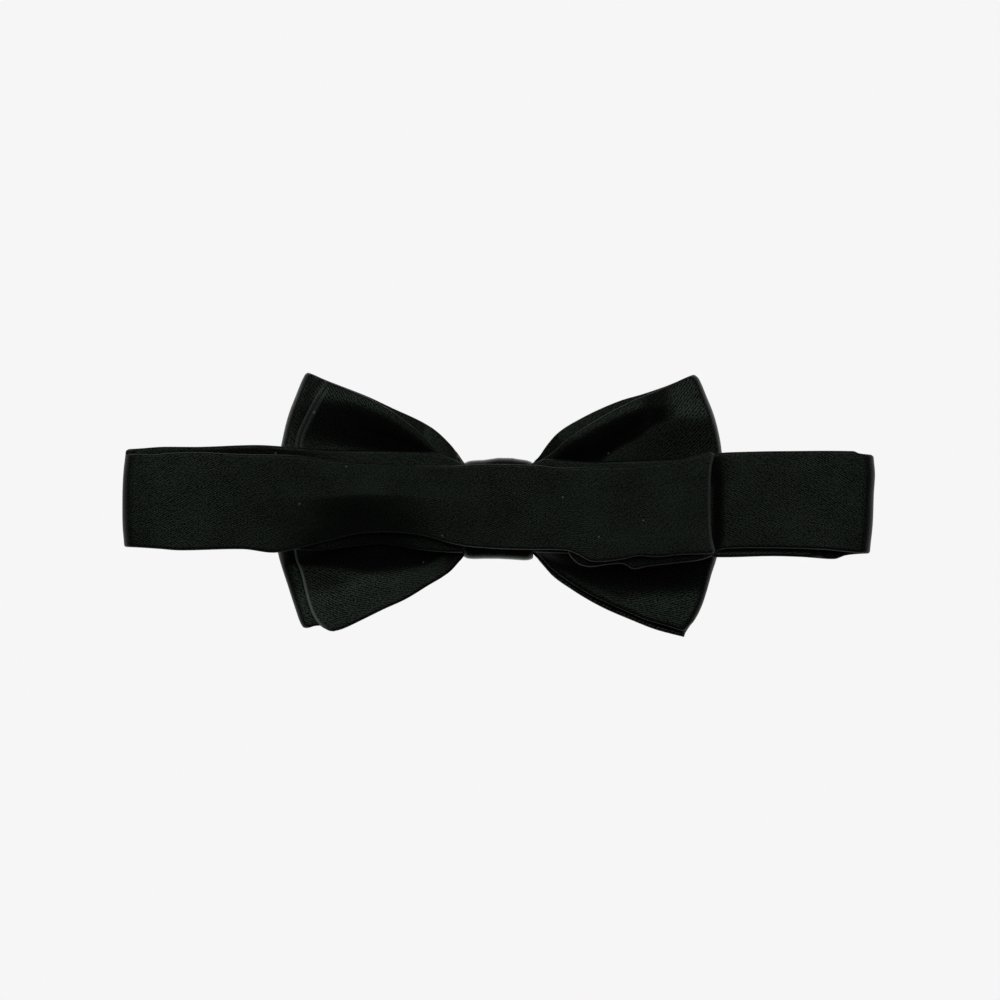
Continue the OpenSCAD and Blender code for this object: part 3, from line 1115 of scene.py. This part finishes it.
@dataclass
class Bow:
    """The four wings: a loop and a flat end on each side, gathered into the knot."""

    shop: Workshop
    strip: float = 1.3
    spacing: float = 1.65

    def outlines(self) -> dict[str, Outline]:
        """Return the outline of each strip's part on each side.

        Returns:
            The outlines by the strip's name.
        """
        back_end = Outline(
            sign=-1,
            edge_top=((0, 55.9), (0.3, 55.8), (0.44, 55.4), (0.52, 54.8), (0.635, 53.1), (0.845, 49.6),
                (1, 47.0)),
            edge_low=(
                (0, 55.9), (0.2, 55.8), (0.39, 55.4), (0.514, 53.9), (0.62, 53.0), (0.735, 52.0),
                    (0.843, 50.6),
                (0.92, 48.9), (0.977, 46.6), (1, 45.0),
            ),
            rim_top=((9.5, 10.6), (13, 12.3), (16.7, 14.2), (18.8, 16.9), (22.2, 20.3), (26.6, 23.7),
                (29.9, 26.1), (35, 28.9), (41.5, 31.7), (47, 33.8), (56, 37.0)),
            rim_low=((9.5, 13.9), (10.6, 15.2), (13.7, 18.6), (19.8, 22.4), (25.2, 25.7), (31.3, 28.5),
                (37.4, 31.5), (42.1, 33.7), (45, 34.5), (56, 36.6)),
        )  # fmt: skip
        front_loop = Outline(
            sign=-1,
            edge_top=((0, 60.2), (0.2, 60.0), (0.435, 58.5), (0.63, 56.8), (0.814, 54.4), (0.97, 52.2),
                (1, 51.3)),
            edge_low=((0, 60.2), (0.2, 60.1), (0.376, 59.5), (0.64, 56.8), (0.827, 54.8), (0.98, 52.8),
                (1, 51.4)),
            rim_top=((9.5, 11.4), (10.4, 12.5), (13, 16.3), (17.1, 20.3), (21.5, 23.0), (28.9, 26.4),
                (35, 29.3), (41.5, 31.9), (46.9, 34.0), (51, 35.8), (60, 38.6)),
            rim_low=((9.5, 12.6), (13.7, 17.4), (19.8, 21.2), (25.2, 24.4), (31.3, 27.3), (37.4, 30.2),
                (42.1, 31.8), (49.3, 32.9), (52.6, 33.5), (60, 35.0)),
        )  # fmt: skip
        back_loop = Outline(
            sign=1,
            edge_top=((0, 60.9), (0.2, 60.8), (0.386, 60.3), (0.513, 59.5), (0.656, 58.1),
                (0.806, 56.1), (0.95, 54.1), (1, 52.8)),
            edge_low=((0, 60.9), (0.2, 60.4), (0.4, 58.9), (0.507, 57.7), (0.66, 56.2), (0.78, 54.8),
                (0.89, 52.9), (1, 50.3)),
            rim_top=((9.5, 10.8), (11.7, 12.0), (15.4, 14.6), (18.2, 17.2), (22.9, 20.6), (27.3, 23.4),
                (32.4, 26.2), (37.5, 28.7), (45.9, 32.3), (52.6, 35.3), (61, 38.4)),
            rim_low=((9.5, 12.4), (10.7, 13.1), (14.8, 17.4), (19.9, 21.2), (24.9, 24.3), (31.7, 27.6),
                (35.8, 29.4), (40.2, 31.3), (45.9, 33.0), (50.3, 34.4), (61, 37.0)),
        )  # fmt: skip
        front_end = Outline(
            sign=1,
            edge_top=((0, 59.9), (0.386, 59.3), (0.513, 58.5), (0.656, 57.1), (0.806, 55.1),
                (0.95, 53.1), (1, 51.9)),
            edge_low=((0, 60.0), (0.2, 59.9), (0.386, 59.2), (0.485, 58.2), (0.63, 56.8),
                (0.746, 55.4), (0.845, 53.7), (1, 50.7)),
            rim_top=((9.5, 11.3), (10.4, 12.0), (13.8, 16.9), (17.1, 20.3), (22.2, 23.4), (27.6, 26.1),
                (33.7, 28.6), (39.2, 30.2), (45.9, 32.5), (52, 35.0), (60, 37.6)),
            rim_low=((9.5, 13.4), (10.7, 14.6), (14.8, 19.3), (19.9, 23.0), (24.9, 26.1), (29.7, 28.6),
                (35.8, 31.2), (42.6, 33.9), (49.7, 35.8), (60, 38.2)),
        )  # fmt: skip
        return {
            "back_end": back_end,
            "front_loop": front_loop,
            "back_loop": back_loop,
            "front_end": front_end,
        }

    def build(self) -> None:
        """Make each strip's cloth and interlining."""
        shapes = self.outlines()
        left = Relief(shapes["back_end"], shapes["front_loop"])
        right = Relief(shapes["back_loop"], shapes["front_end"])
        gap = self.spacing

        def behind_left(x: float, y: float) -> float:
            """Return the height of the left loop's upper layer, which bulges outside the flat end.

            Args:
                x: Distance outwards, in mm.
                y: Height up the chest, in mm.

            Returns:
                The height above the table, in mm.
            """
            shape = shapes["back_end"]
            upper = y > 0
            clear = abs(y) - shape.rim(x, upper)
            edge = shapes["front_loop"].edge(y / shapes["front_loop"].rim(x, upper))
            bulge = 1.1 * ease(-6.0, -2.0, x - edge)
            held = math.copysign(min(abs(y), shape.rim(x, upper)), y)
            z = left.back(x, held) - gap - 0.08 * max(clear, 0.0) * math.copysign(1.0, y) + bulge
            z -= 0.11 * max(y - 14.0, 0.0) * ease(-5.0, -1.5, x - edge)
            return max(z, left.front(x, y) + gap * 0.9)

        def before_right(x: float, y: float) -> float:
            """Return the height of the right loop's lower layer, just over the flat end."""
            return min(right.front(x, y) + gap, right.back(x, y) - gap * 0.9)

        self._end("back_end", shapes["back_end"], left.back, grooved=True)
        self._end("front_end", shapes["front_end"], self._under(right), grooved=False)
        self._loop("front_loop", shapes["front_loop"], behind_left, left.front)
        self._loop("back_loop", shapes["back_loop"], right.back, before_right)

    def _under(self, relief: Relief) -> Callable[[float, float], float]:
        """Return the face's height, kept under the two layers of the loop above it.

        Args:
            relief: The heights on that side.

        Returns:
            The height in mm by plan position.
        """
        loop = relief.upper

        def height(x: float, y: float) -> float:
            """Return the height at a plan position."""
            beyond = max(abs(y) - loop.rim(x, y > 0), 0.0)
            held = y - math.copysign(beyond, y)
            turned_up = 1.9 * ease(0.3, 1.1, beyond) * (y < 0) * ease(12.0, 20.0, x)
            return min(relief.front(x, y), relief.back(x, held) - self.spacing * 1.95) + turned_up

        return height

    def _end(
        self,
        name: str,
        shape: Outline,
        height: Callable[[float, float], float],
        grooved: bool,
    ) -> None:
        """Make a flat end, whose side edge shows both its plies where it is grooved.

        Args:
            name: The strip's name.
            shape: Its outline.
            height: Its height in mm by plan position.
            grooved: Whether its side edge shows two plies and has a painted highlight.
        """

        def surface(s: float, w: float) -> Point:
            """Return the middle surface at a share along the strip and one across it."""
            x, y = shape.plan(s, w)
            z = height(x, y)
            if grooved and w > 0:
                from_edge = shape.edge(w) - x
                z -= 0.45 * hill(from_edge, 1.1, 0.3) * ease(0.25, 0.45, w) * ease(1.0, 0.85, w)
            return shape.sign * x, y, z

        def painted_highlight(s: float, w: float) -> float:
            """Return the painted highlight on the side edge: one pale line below the band and two close ones
            above it.

            Args:
                s: Share along the strip, from 0 to 1.
                w: Share across it, from -1 to 1.

            Returns:
                How strongly the pale highlight is painted, from 0 to 1.
            """
            # Painted highlight: pale lines along the side edge where its plies catch the light.
            from_edge = (1 - s) * (shape.edge(w) - ROOT)
            line = ease(0.95, 0.4, from_edge)
            if w < 0:
                return 0.55 * line * ease(1.0, 0.9, -w)
            return 0.13 * (line + hill(from_edge, 1.7, 0.35)) * ease(1.0, 0.9, w)

        self._make(name, surface, END_LENGTH, 1, 0.0 if grooved else 0.1, painted_highlight if grooved else None)

    def _loop(
        self,
        name: str,
        shape: Outline,
        upper: Callable[[float, float], float],
        lower: Callable[[float, float], float],
    ) -> None:
        """Make a loop: out along the upper layer, round the side edge and back along the lower one.

        Args:
            name: The strip's name.
            shape: Its outline.
            upper: The upper layer's height in mm by plan position.
            lower: The lower layer's height.
        """
        bend = 0.04
        back = 1.5

        def surface(s: float, w: float) -> Point:
            """Return the middle surface at a share along the strip and one across it."""
            turn = (s - 0.5) / bend
            if abs(turn) >= 1.0:
                u = 1 - (abs(s - 0.5) - bend) / (0.5 - bend)
                x, y = shape.plan(u, w, back)
                return shape.sign * x, y, (upper if s < 0.5 else lower)(x, y)
            x, y = shape.plan(1.0, w, back)
            top, low = upper(x, y), lower(x, y)
            angle = turn * math.pi / 2
            out = back * math.cos(angle)
            y = w * shape.rim(x + out, w > 0)
            z = (top + low) / 2 - (top - low) / 2 * math.sin(angle)
            return shape.sign * (x + out), y, z

        self._make(name, surface, LOOP_LENGTH, 2, 0.3)

    def _make(
        self,
        name: str,
        surface: Surface,
        length: float,
        layers: int,
        dull: float,
        painted_highlight: Callable[[float, float], float] | None = None,
    ) -> None:
        """Make one strip's satin and interlining from its middle surface.

        Args:
            name: The strip's name.
            surface: Its middle surface.
            length: Its length along the cloth, in mm.
            layers: 1 for a flat end, 2 for a loop.
            dull: How matt its rims are.
            painted_highlight: How strongly a pale highlight is painted on its satin, if anywhere.
        """
        half_width = 26.0
        for layer in ("satin", "interlining"):
            fine = layer == "satin"
            inset = 0.0 if fine else 2.2
            thick = self.strip if fine else self.strip * 0.4
            end = 1.0 - (inset / length if layers == 1 else 0.0)
            share = 1 - inset / half_width

            def drawn(s: float, w: float, end: float = end, share: float = share) -> Point:
                """Return the surface, drawn in for this layer."""
                return surface(s * end, w * share)

            strip = Strip(
                f"{name}_{layer}",
                drawn,
                length,
                half_width,
                Ply(
                    thick,
                    rim=thick / 2,
                    seam=4.5,
                    seam_rise=0.03 if fine else 0.0,
                    open_start=layers == 2,
                    open_end=layers == 2,
                ),
                dull=lambda s, w: dull,
                painted_highlight=painted_highlight if fine and painted_highlight else lambda s, w: 0.0,
                along=(120 if fine else 40) * layers,
                across=120 if fine else 40,
            )
            piece = self.shop.add(strip.name, strip.mesh(), layer, strip.name)
            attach(piece, "bow")


# ----------------------------------------------------------------------------------------------- knot


@dataclass
class Knot:
    """The wrap round the waist, with its interlining and the gathered waist inside it."""

    shop: Workshop
    wall: float = 0.75

    def build(self) -> None:
        """Make the wrap, its interlining and the gathered waist inside it."""
        low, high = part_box("knot_wrap")
        self.half_x = (high.x - low.x) / MM / 2
        self.half_y = (high.y - low.y) / MM / 2
        self.mid_y = (high.y + low.y) / MM / 2
        self.top = high.z / MM
        for layer, inset, wall in (("wrap", 0.0, self.wall), ("interlining", self.wall + 0.05, 0.5)):
            mesh = self._closed(f"knot_{layer}", 168, 80, lambda p, q: self._point(p, q, inset, wall))
            slot = "satin" if layer == "wrap" else "interlining"
            piece = self.shop.add(f"knot_{layer}", mesh, slot, f"knot_{layer}")
            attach(piece, "bow")
        self._waist()

    def _closed(
        self, name: str, around: int, section: int, point: Callable[[float, float], Point]
    ) -> bpy.types.Mesh:
        """Return a closed mesh over two turning shares, each from -1 to 1.

        Args:
            name: The mesh's name.
            around: How many faces go round.
            section: How many faces the section has.
            point: The place in mm for both shares.

        Returns:
            The mesh, in metres.
        """
        bm = bmesh.new()
        bmesh.ops.create_grid(bm, x_segments=around, y_segments=section, size=1.0)
        uv = bm.loops.layers.uv.new("cloth")
        dull = bm.verts.layers.float.new("dull")
        ring = [Vector(point(2 * i / around - 1, 0.0)) for i in range(around + 1)]
        girth = [0.0]
        for start, end in zip(ring, ring[1:]):
            girth.append(girth[-1] + (end - start).length)
        places = {v: Vector(point(v.co.x, v.co.y)) for v in bm.verts}
        for face in bm.faces:
            for loop in face.loops:
                step = round((loop.vert.co.x + 1) / 2 * around)
                loop[uv].uv = (places[loop.vert].x, girth[step])
        for v, place in places.items():
            v.co = place * MM
            v[dull] = KNOT_POLISH
        bmesh.ops.remove_doubles(bm, verts=bm.verts, dist=1e-7)
        for face in bm.faces:
            face.smooth = True
        bmesh.ops.recalc_face_normals(bm, faces=bm.faces)
        mesh = bpy.data.meshes.new(name)
        bm.to_mesh(mesh)
        bm.free()
        return mesh

    def _point(self, p: float, q: float, inset: float, wall: float) -> Point:
        """Return a place on the wrap: p goes round the waist, q round the wall's section.

        Args:
            p: Share round the waist, from -1 to 1.
            q: Share round the wall's section, from -1 to 1.
            inset: How far inside the wrap's outside the layer lies, in mm.
            wall: The layer's thickness in mm.

        Returns:
            The place in mm.
        """
        turn = p * math.pi
        section = q * math.pi
        length = self.half_x - inset * 0.8
        ring = abs(math.sin(section)) ** 0.35 * math.copysign(1, math.sin(section))
        x = length * ring
        share = x / self.half_x
        depth = wall * (1 - math.cos(section)) / 2
        rolled = 0.75 * abs(share) ** 8
        size_y = self.half_y - inset - depth - rolled
        size_z = self.top / 2 - inset - depth - rolled
        c, s = math.cos(turn), math.sin(turn)
        y = size_y * math.copysign(abs(c) ** 0.45, c)
        z = size_z * math.copysign(abs(s) ** 0.38, s)
        # The wrap is drawn in a little below its middle, and stands up in a soft fold above it.
        if c > 0:
            y += c * (-0.9 + 0.75 * hill(x, 1.7, 3.2) + 0.1 * share)
        else:
            y -= c * (0.6 * (1 - share * share) - 0.25 * share - 0.1)
        front = max(-s, 0.0)
        crease = 0.25 * (1 + math.cos(x * 1.05 + 0.4)) * front * (1 - share * share)
        return x, self.mid_y + y, self.top / 2 + z + crease * (1 - depth / (wall + 0.8))

    def _waist(self) -> None:
        """Make the pleated waist inside the wrap."""
        low, high = (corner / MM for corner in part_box("waist_pleats"))
        half = (high - low) / 2
        middle = (high + low) / 2
        pleats = 9

        def around(p: float) -> tuple[float, float]:
            """Return y and z at a share round the pleats."""
            turn = p * math.pi
            c, s = math.cos(turn), math.sin(turn)
            y = (half.y - 0.1) * math.copysign(abs(c) ** 0.6, c)
            z = (half.z - 0.1) * math.copysign(abs(s) ** 0.35, s)
            fold = 0.5 - 0.5 * math.cos(y / half.y * math.pi * pleats)
            return y, z * (1 - 0.22 * fold * abs(s))

        def pleated(p: float, q: float) -> Point:
            """Return a place on the pleats, closed at both ends."""
            turn = q * math.pi
            size = abs(math.cos(turn / 2)) ** 0.05 if abs(q) < 0.999 else 0.0
            y, z = around(p)
            return half.x * q, middle.y + y * size, middle.z + z * size

        mesh = self._closed("waist_pleats", 144, 30, pleated)
        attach(self.shop.add("waist_pleats", mesh, "satin", "waist_pleats"), "bow")


# ------------------------------------------------------------------------------- fastening and thread


class Thread:
    """Draws threads, hooks and loops as thin tubes in one mesh."""

    def __init__(self, name: str) -> None:
        """Start an empty mesh."""
        self.name = name
        self.bm = bmesh.new()
        self.uv = self.bm.loops.layers.uv.new("cloth")

    def run(
        self, line: Callable[[float], Vector], radius: float, rings: int, sides: int, closed: bool = False
    ) -> None:
        """Add one tube.

        Args:
            line: The tube's centre in mm, for a share along it from 0 to 1.
            radius: Its radius in mm.
            rings: How many rings of faces it has.
            sides: How many faces go round it.
            closed: Whether its ends meet.
        """
        verts = bmesh.ops.create_grid(self.bm, x_segments=rings, y_segments=sides, size=1.0)["verts"]
        length = sum((line((i + 1) / 8) - line(i / 8)).length for i in range(8))
        faces = {face for v in verts for face in v.link_faces}
        for face in faces:
            face.smooth = True
            for loop in face.loops:
                p, q = loop.vert.co.x, loop.vert.co.y
                loop[self.uv].uv = (p * length / 2, q * radius * math.pi)
        for v in verts:
            t, turn = (v.co.x + 1) / 2, v.co.y * math.pi
            share = t % 1.0 if closed else t
            ahead = (line(min(share + 0.01, 1.0)) - line(max(share - 0.01, 0.0))).normalized()
            across = ahead.cross(Vector((0.31, 0.17, 0.94))).normalized()
            up = across.cross(ahead)
            size = radius if closed else radius * math.sqrt(max(1 - (2 * t - 1) ** 6, 0.0))
            v.co = (line(share) + (across * math.cos(turn) + up * math.sin(turn)) * size) * MM
        bmesh.ops.remove_doubles(self.bm, verts=verts, dist=1e-7)

    def stitch(self, x: float, y: float, z: float, turn: float, length: float = 1.5) -> None:
        """Add one stitch that lies in the plane at height z and dips into the cloth at both ends.

        Args:
            x: The stitch's middle, in mm.
            y: The same, up the chest.
            z: The same, above the table.
            turn: The way it runs, in radians from x.
            length: Its length in mm.
        """
        along = Vector((math.cos(turn), math.sin(turn), 0.0))
        middle = Vector((x, y, z))

        def line(t: float) -> Vector:
            """Return the stitch's centre at a share along it."""
            share = 2 * t - 1
            return middle + along * (share * length / 2) - Vector((0, 0, 0.12 * share**4))

        self.run(line, 0.13, 6, 6)

    def mesh(self) -> bpy.types.Mesh:
        """Return the finished mesh."""
        bmesh.ops.recalc_face_normals(self.bm, faces=self.bm.faces)
        mesh = bpy.data.meshes.new(self.name)
        self.bm.to_mesh(mesh)
        self.bm.free()
        return mesh


@dataclass
class Sewing:
    """The threads: the waist's binding and the hand stitches at the knot."""

    shop: Workshop

    def build(self) -> None:
        """Wind the binding and sew the stitches."""
        self._binding()
        knot_low, knot_high = (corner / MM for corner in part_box("knot_stitches"))
        thread = Thread("knot_stitches")
        for i in range(7):
            x = mix(knot_low.x + 0.5, knot_high.x - 0.5, (i + 0.5) / 7)
            thread.stitch(x, (knot_low.y + knot_high.y) / 2, knot_low.z + 0.1, math.radians(60.0))
        self._place(thread, "knot_stitches", "bow")
        low, high = (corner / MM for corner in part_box("anchor_stitches"))
        thread = Thread("anchor_stitches")
        for x in (low.x + 0.6, high.x - 0.6):
            for i in range(6):
                y = mix(low.y + 0.6, high.y - 0.6, (i + 0.5) / 6)
                for turn in (45.0, 135.0):
                    thread.stitch(x, y, high.z - 0.1, math.radians(turn))
        self._place(thread, "anchor_stitches", "bow")

    def _binding(self) -> None:
        """Wind four turns round the waist."""
        low, high = (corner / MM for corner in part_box("binding_thread"))
        thread = Thread("binding_thread")
        half_y, half_z = (high.y - low.y) / 2 - 0.25, (high.z - low.z) / 2 - 0.25
        for i in range(4):
            x = mix(low.x + 0.25, high.x - 0.25, i / 3)

            def line(t: float, x: float = x) -> Vector:
                """Return the turn's centre at a share round it."""
                c, s = math.cos(t * math.tau), math.sin(t * math.tau)
                y = (low.y + high.y) / 2 + half_y * math.copysign(abs(c) ** 0.4, c)
                z = (low.z + high.z) / 2 + half_z * math.copysign(abs(s) ** 0.4, s)
                return Vector((x + 0.1 * math.sin(t * math.tau), y, z))

            thread.run(line, 0.25, 72, 8, closed=True)
        self._place(thread, "binding_thread", "bow")

    def _place(self, thread: Thread, name: str, body: str) -> None:
        """Turn a thread into a piece that rides on a body."""
        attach(self.shop.add(name, thread.mesh(), "thread", name), body)


@dataclass
class Fastening:
    """The pad pair that closes the lap: hooks under the long flap and loops on the short one."""

    shop: Workshop
    ground: float = 0.4
    margin: float = 2.0
    pitch: float = 1.25

    def build(self) -> None:
        """Make both pads and the stitches round them."""
        self._pad("hook_pad", "hook_tape", "left_flap", -1)
        self._pad("loop_pad", "loop_tape", "right_flap", 1)

    def _pad(self, name: str, slot: str, body: str, up: int) -> None:
        """Make one pad: a woven ground with a field of hooks or loops, stitched at its selvedge.

        Args:
            name: The pad's name.
            slot: Its material slot.
            body: The body it rides on.
            up: 1 where its field faces up, -1 where it faces down.
        """
        low, high = (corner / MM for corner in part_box(name))
        half_x, half_y = (high.x - low.x) / 2, (high.y - low.y) / 2
        mid_x, mid_y = (high.x + low.x) / 2, (high.y + low.y) / 2
        base = low.z if up > 0 else high.z
        middle = base + up * self.ground / 2
        tape = Strip(
            name,
            lambda s, w: (mid_x + half_x * (2 * s - 1), mid_y + half_y * w, middle),
            2 * half_x,
            half_y,
            Ply(self.ground, rim=self.ground / 2, seam_rise=0.0),
            along=40,
            across=30,
        ).mesh()
        pile = Thread(name)
        height = high.z - low.z - self.ground
        columns = int(2 * (half_x - self.margin) / self.pitch)
        rows = int(2 * (half_y - self.margin) / self.pitch)
        for i in range(columns):
            for j in range(rows):
                x = mid_x + (i - (columns - 1) / 2) * self.pitch + 0.3 * (j % 2)
                y = mid_y + (j - (rows - 1) / 2) * self.pitch
                root = Vector((x, y, base + up * (self.ground - 0.05)))
                pile.run(self._filament(root, up, height, (i + j) % 2), 0.1, 6, 5)
        bm = pile.bm
        bm.from_mesh(tape)
        piece = self.shop.add(name, pile.mesh(), slot, name)
        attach(piece, body)
        self._selvedge(name, body, Vector((mid_x, mid_y, base + up * self.ground)), half_x, half_y, up)

    def _filament(self, root: Vector, up: int, height: float, turned: int) -> Callable[[float], Vector]:
        """Return the line of one hook or loop that stands on root.

        Args:
            root: Where it stands, in mm.
            up: 1 for a loop that stands up, -1 for a hook that hangs.
            height: How tall it is, in mm.
            turned: 1 where it faces the other way.

        Returns:
            The line, by share along it.
        """
        side = 1 if turned else -1
        if up < 0:
            # A hook rises straight and bends over into an open crook.
            return lambda t: root + Vector(
                (0.42 * side * ease(0.45, 1.0, t), 0.0, up * height * math.sin(min(t * 1.35, 1.25)) ** 0.8)
            )
        # A loop stands as a narrow arch whose feet are a little apart.
        return lambda t: root + Vector(
            (0.32 * math.cos(t * math.pi), 0.22 * side * (t - 0.5), up * height * math.sin(t * math.pi) * 0.9)
        )

    def _selvedge(
        self, name: str, body: str, middle: Vector, half_x: float, half_y: float, up: int
    ) -> None:
        """Sew a line of stitches along all four sides of a pad.

        Args:
            name: The pad's name.
            body: The body it rides on.
            middle: The middle of its field side, in mm.
            half_x: Half its length in mm.
            half_y: Half its width in mm.
            up: 1 where its field faces up, -1 where it faces down.
        """
        thread = Thread(f"{name}_stitches")
        line_x, line_y = half_x - self.margin / 2, half_y - self.margin / 2
        z = middle.z + up * 0.1
        for side in (-1, 1):
            for i in range(12):
                x = middle.x + (line_x - 0.8) * (2 * (i + 0.5) / 12 - 1)
                thread.stitch(x, middle.y + side * line_y, z, 0.0)
            for i in range(6):
                y = middle.y + (line_y - 0.8) * (2 * (i + 0.5) / 6 - 1)
                thread.stitch(middle.x + side * line_x, y, z, math.radians(90.0))
        node = f"{name}_stitches"
        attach(self.shop.add(node, thread.mesh(), "thread", node), body)


# ---------------------------------------------------------------------------------------------- stage


@dataclass
class Studio:
    """A plain pale table under broad, soft light, with the camera straight above."""

    view_width_mm: float = 271.0
    centre: tuple[float, float] = (0.5, 1.35)
    height_mm: float = 1600.0

    def build(self) -> None:
        """Make the floor, the lamp, the dim room and the camera."""
        self._floor()
        self._lights()
        self._camera()

    def _floor(self) -> None:
        """Lay an evenly bright table top at z = 0."""
        bm = bmesh.new()
        bmesh.ops.create_grid(bm, x_segments=2, y_segments=2, size=3.0)
        mesh = bpy.data.meshes.new("table_top")
        bm.to_mesh(mesh)
        bm.free()
        table = bpy.data.objects.new("table_top", mesh)
        bpy.context.scene.collection.objects.link(table)
        material = bpy.data.materials.new("white_table")
        material.use_nodes = True
        tree = material.node_tree
        tree.nodes.remove(tree.nodes["Principled BSDF"])
        glow = add_node(
            material, "ShaderNodeEmission", {}, {"Color": linear("#F6F6F6"), "Strength": 1.0}
        )
        tree.links.new(glow.outputs[0], tree.nodes["Material Output"].inputs["Surface"])
        mesh.materials.append(material)

    def _lights(self) -> None:
        """Hang one wide lamp over the upper side of the table in a dim room."""
        lamp = bpy.data.lights.new("softbox", "AREA")
        lamp.shape = "RECTANGLE"
        lamp.size, lamp.size_y = 2.2, 0.8
        lamp.energy = 14.0
        tilt = math.radians(24.0)
        holder = bpy.data.objects.new("softbox", lamp)
        holder.location = (-0.08, 1.2 * math.sin(tilt), 1.2 * math.cos(tilt))
        holder.rotation_euler = (-tilt, 0.0, 0.0)
        bpy.context.scene.collection.objects.link(holder)
        world = bpy.data.worlds.new("dim_room")
        world.use_nodes = True
        world.node_tree.nodes["Background"].inputs["Color"].default_value = linear("#F6F6F6")
        world.node_tree.nodes["Background"].inputs["Strength"].default_value = 0.03
        bpy.context.scene.world = world

    def _camera(self) -> None:
        """Look straight down with a long lens."""
        data = bpy.data.cameras.new("camera")
        data.sensor_width = 36.0
        seen_from = self.height_mm - 16.0
        data.lens = data.sensor_width * seen_from / self.view_width_mm
        data.clip_end = 10.0
        camera = bpy.data.objects.new("camera", data)
        camera.location = (self.centre[0] * MM, self.centre[1] * MM, self.height_mm * MM)
        bpy.context.scene.collection.objects.link(camera)
        bpy.context.scene.camera = camera
        bpy.context.scene.view_settings.view_transform = "Standard"


def main() -> None:
    """Build the studio and every part of the tie."""
    logging.basicConfig(level=logging.INFO, format="%(name)s %(message)s")
    Studio().build()
    shop = Workshop()
    Neckband(shop).build()
    Bow(shop).build()
    Knot(shop).build()
    Sewing(shop).build()
    Fastening(shop).build()
    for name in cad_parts:
        node = bpy.data.objects.get(name)
        if node is not None and not node.hide_render:
            LOG.info("CAD node shown: %s", name)


if __name__ == "__main__":
    main()
